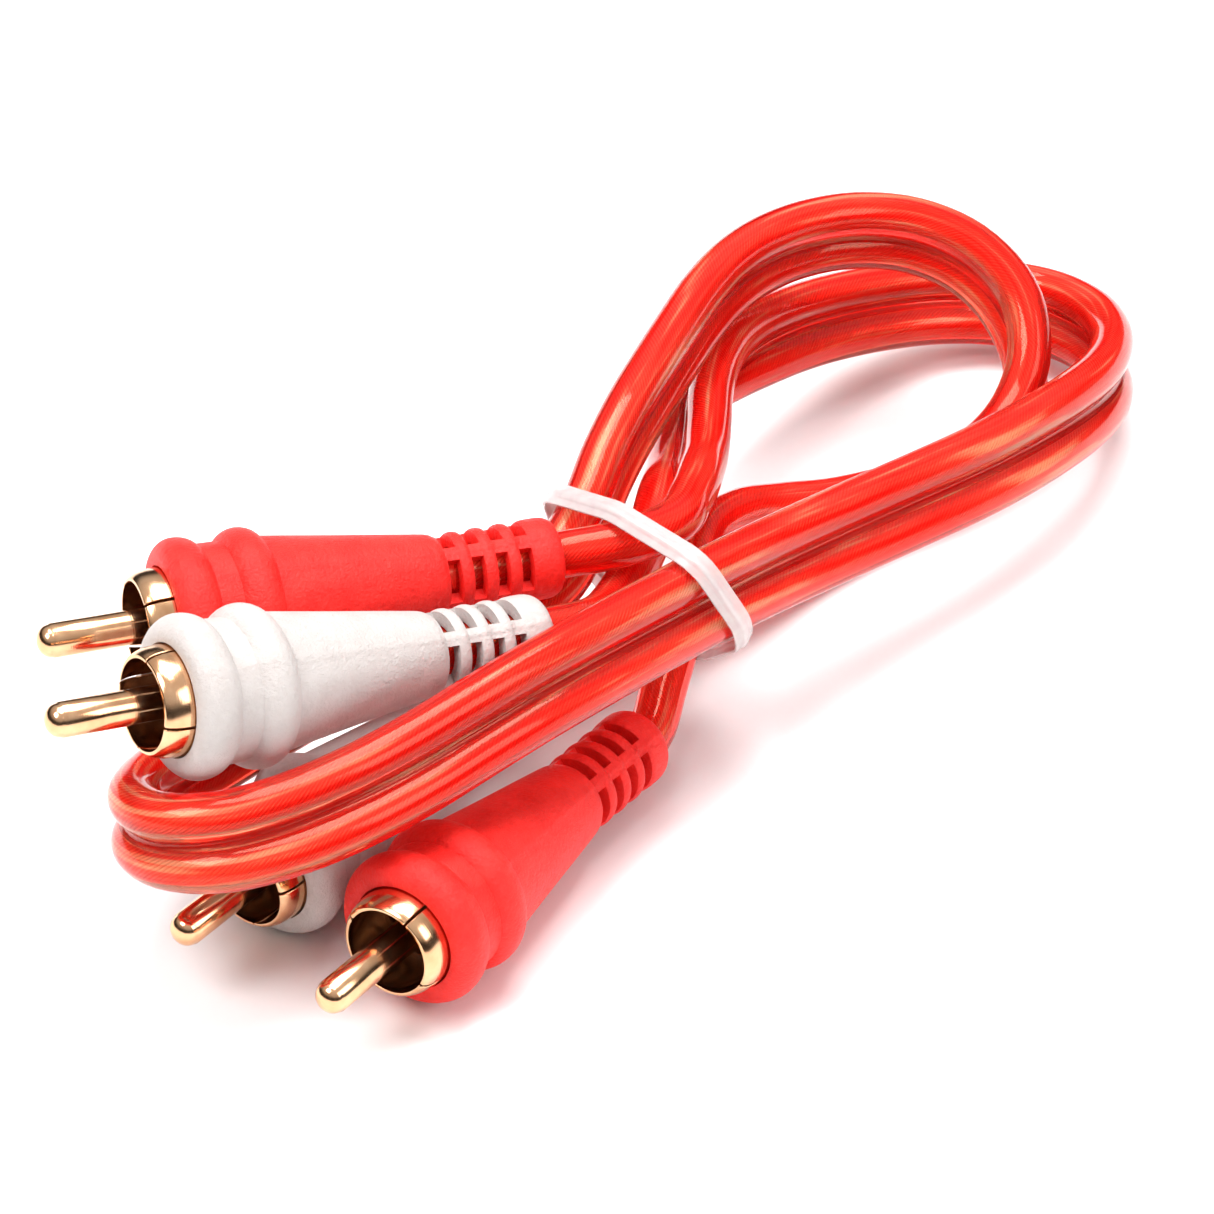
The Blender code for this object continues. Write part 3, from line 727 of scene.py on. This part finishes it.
# -------------------------------------------------------------------- cords
def build_cords(mats):
    red_side, white_side = twin_sides()
    routes = {
        "red": strand_route("a_red", FREE_A_RED, red_side, FREE_B_RED, "b_red"),
        "white": strand_route("a_white", FREE_A_WHITE, white_side, FREE_B_WHITE, "b_white"),
    }
    made = []
    for channel, route in routes.items():
        line = smooth(route, 1.3)
        jacket = swept("cord_" + channel, line, circle(STRAND_RADIUS + 0.06, 32))
        add_piece(jacket, mats["jacket"], ["strand_" + channel])
        core = swept("shield_" + channel, line[1:-1], circle(1.08, 28))
        add_piece(core, mats["shield"])
        made.append((channel, jacket, line))
    build_web(red_side, white_side, mats)
    return made, list(routes.values())


def build_web(red_side, white_side, mats):
    """The thin web that joins the two strands of the twin cord."""
    red = smooth(red_side, 1.3)
    white = smooth(white_side, 1.3)
    count = min(len(red), len(white))
    middle = []
    frames = []
    for k in range(count):
        a = red[round(k * (len(red) - 1) / (count - 1))]
        b = white[round(k * (len(white) - 1) / (count - 1))]
        middle.append((a + b) / 2)
    for k in range(count):
        a = red[round(k * (len(red) - 1) / (count - 1))]
        b = white[round(k * (len(white) - 1) / (count - 1))]
        along = (middle[min(k + 1, count - 1)] - middle[max(k - 1, 0)]).normalized()
        across = (a - b) - along * (a - b).dot(along)
        across.normalize()
        frames.append((along, across, along.cross(across)))

    def outline(k):
        fade = min(1.0, 0.3 + k / 4, 0.3 + (count - 1 - k) / 4)
        upper = [(0.60, 1.42), (0.34, 1.12), (0.0, 1.0), (-0.34, 1.12), (-0.60, 1.42)]
        return [(a, b * fade) for a, b in upper] + [(-a, -b * fade) for a, b in upper]

    web = swept("cord_web", middle, outline, frames=frames)
    add_piece(web, mats["jacket"])


# -------------------------------------------------------------------- plugs
def bead(middle, half, low, high, steps=10, start=22, end=158):
    """Outline of a raised round band that meets the surface at a crease."""
    base = (high - low) / (1 - sin(radians(22)))
    out = []
    for k in range(steps + 1):
        t = radians(start + (end - start) * k / steps)
        out.append((middle - half * cos(t) / cos(radians(22)), high - base * (1 - sin(t))))
    return out


WINDOW_ROWS = [(29.05 + 2.35 * k, 30.25 + 2.35 * k) for k in range(4)]
WINDOW_HALF = radians(34)
RIBS = [(row[1], after[0]) for row, after in zip(WINDOW_ROWS, WINDOW_ROWS[1:])]
BOOT_PROFILE = (
    [(4.5 - 1.9 * cos(t), 5.55 + 1.87 * sin(t)) for t in (radians(10 * k) for k in range(9))]
    + bead(4.5, 1.95, 6.52, 7.42, 6, 90, 158)
    + bead(10.45, 1.82, 6.45, 7.42)
    + [(12.35, 6.36), (14.0, 6.12), (17.0, 5.66), (20.0, 5.2), (24.0, 4.62), (27.6, 4.08)]
    + [(28.2, 3.98), (28.6, 3.86), (28.85, 3.70), (29.0, 3.62)]
    + [spot for low, high in RIBS for spot in
       bead((low + high) / 2, (high - low) / 2, 3.62, 3.82, 6)]
    + [(37.3, 3.62), (37.45, 3.72), (37.7, 3.79), (38.1, 3.82), (39.2, 3.82)]
    + [(39.3 + 1.2 * sin(t), 3.0 + 0.8 * cos(t)) for t in (radians(15 * k) for k in range(1, 7))]
)
BOOT_BORE = [
    (2.6, 5.15), (12.3, 5.15), (12.4, 4.45), (15.0, 4.45), (26.2, 3.2), (26.4, 2.42),
    (40.5, 2.42),
]


def ring_angles(count, breaks):
    """Even angles, with those nearest to each break moved onto it."""
    angles = [2 * pi * i / count for i in range(count)]
    for mark in breaks:
        k = min(range(count), key=lambda i: abs((angles[i] - mark + pi) % (2 * pi) - pi))
        angles[k] = mark % (2 * pi)
    return sorted(angles)


def build_boot(plug, mat):
    quarter = pi / 2
    marks = [quarter * q + sign * WINDOW_HALF for q in range(4) for sign in (-1, 1)]
    seam = [quarter * 0.5 + sign * 0.028 for sign in (-1, 1)]
    seam += [mark + pi for mark in seam]
    angles = ring_angles(96, marks + seam)
    stations = sorted({round(s, 3) for s, _ in BOOT_PROFILE + BOOT_BORE}
                      | {s for row in WINDOW_ROWS for s in row}
                      | {12.5 + 1.55 * k for k in range(1, 10)})

    def hole(s, a):
        inside = any(low < s < high for low, high in WINDOW_ROWS)
        return inside and abs((a + quarter / 2) % quarter - quarter / 2) < WINDOW_HALF

    def parting(s, a):
        near = min(abs((a - mark + pi) % (2 * pi) - pi) for mark in (pi / 4, pi * 5 / 4))
        return 0.05 if near < 0.03 and 3.2 < s < 40.2 else 0.0

    boot = shell(plug + "_boot_skin", table(BOOT_PROFILE), table(BOOT_BORE), stations, angles,
                 hole, parting)
    round_edges(boot, 0.16, 3, 72)
    boot.matrix_world = plug_matrix(plug, PLUGS[plug][3])
    return add_piece(boot, mat, [plug + "_boot"])


COLLAR_OUT = [
    (0.0, 4.38), (0.12, 4.50), (0.4, 4.68), (0.8, 4.83), (1.4, 4.95), (2.2, 5.0), (12.0, 5.0),
]


def build_collar(plug, mat):
    out = table(COLLAR_OUT)
    slit = 0.026
    marks = [pi / 2 * q + sign * slit for q in range(4) for sign in (-1, 1)]
    angles = ring_angles(96, marks)
    stations = [0.0, 0.12, 0.4, 0.8, 1.4, 2.2, 3.4, 5.0, 7.3, 7.5, 10.0, 12.0]

    def hole(s, a):
        return s < 7.5 and abs((a + pi / 4) % (pi / 2) - pi / 4) < slit

    collar = shell(plug + "_collar_shell", out, lambda s: out(s) - (0.28 if s < 0.2 else 0.35),
                   stations, angles, hole)
    round_edges(collar, 0.07)
    collar.matrix_world = plug_matrix(plug, PLUGS[plug][4])
    return add_piece(collar, mat, [plug + "_collar"])


def build_pin(plug, mat):
    reach, r = 9.3, 1.6
    dome = [(-reach + 1.2 * (1 - cos(a)), 1.5 * sin(a))
            for a in (radians(90 * k / 12) for k in range(13))]
    shank = [(-7.95, r), (-4.0, r), (0.0, r), (6.0, r), (14.0, r), (14.0, 0.95), (10.5, 0.95),
             (10.5, 0.0)]
    pin = lathe(plug + "_pin_turned", dome + shank, 48)
    pin.matrix_world = plug_matrix(plug)
    return add_piece(pin, mat, [plug + "_pin"])


def build_insulator(plug, mat):
    disc = lathe(plug + "_insulator_disc", [
        (6.8, 1.75), (6.62, 1.95), (6.62, 2.5), (6.95, 2.75), (6.95, 3.6), (6.7, 3.85),
        (6.7, 4.35), (6.85, 4.5), (10.0, 4.5), (10.0, 1.75)], 64)
    disc.matrix_world = plug_matrix(plug)
    return add_piece(disc, mat, [plug + "_insulator"])


# ---------------------------------------------------------------- twist tie
def build_tie(routes, mats):
    frames = tie_frames(routes)
    points = [p for p, _, _ in frames]
    fine = smooth(points, 0.8)
    widths = []
    for k in range(len(fine)):
        spot = k * (len(frames) - 1) / (len(fine) - 1)
        j = min(int(spot), len(frames) - 2)
        widths.append(frames[j][1].lerp(frames[j + 1][1], spot - j))
    turned = []
    for k, wide in enumerate(widths):
        along = (fine[min(k + 1, len(fine) - 1)] - fine[max(k - 1, 0)]).normalized()
        wide = (wide - along * wide.dot(along)).normalized()
        turned.append((along, wide, along.cross(wide)))
    half_w, half_t = TIE_WIDTH / 2, TIE_THICKNESS / 2
    flange = [(half_w, -0.10), (half_w, 0.10), (half_w - 0.12, 0.20), (0.62, 0.22), (0.46, 0.33),
              (0.18, half_t), (-0.18, half_t), (-0.46, 0.33), (-0.62, 0.22),
              (-half_w + 0.12, 0.20)]
    outline = flange + [(-a, -b) for a, b in flange]
    sleeve = swept("tie_strip", fine, lambda k: outline, 50, frames=turned)
    add_piece(sleeve, mats["tie"], ["tie_sleeve"])
    core = swept("tie_core", fine[2:-2], circle(0.24, 12), frames=turned[2:-2])
    add_piece(core, mats["steel"], ["tie_wire"])


# --------------------------------------------------------------------- main
def main():
    build_stage()
    mats = {
        "jacket": jacket_material(),
        "shield": shield_material(),
        "red": vinyl("red_vinyl", (0.95, 0.026, 0.019), (0.80, 0.010, 0.007), 0.46),
        "white": vinyl("white_vinyl", (0.57, 0.525, 0.505), (0.51, 0.46, 0.44), 0.46),
        "gold": gold("gold_plate"),
        "dark": dark_plastic("insulator_plastic"),
        "tie": tie_material(),
        "steel": metal("tie_wire_steel", (0.62, 0.61, 0.59), (0.88, 0.87, 0.85), 0.40, 1200.0),
        "copper": metal("bare_copper", (0.66, 0.27, 0.13), (0.92, 0.48, 0.27), 0.36, 1600.0),
        "mould": vinyl("mould_vinyl", (0.74, 0.71, 0.66), (0.66, 0.62, 0.57), 0.50),
    }
    cords, routes = build_cords(mats)
    for plug in PLUGS:
        channel = plug[2:]
        build_boot(plug, mats[channel])
        build_collar(plug, mats["gold"])
        build_pin(plug, mats["gold"])
        build_insulator(plug, mats["dark"])
        for part, look in (("mould", "mould"), ("conductor", "copper")):
            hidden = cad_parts[plug + "_" + part]
            hidden.data.materials.clear()
            hidden.data.materials.append(mats[look])
    build_tie(routes, mats)


main()
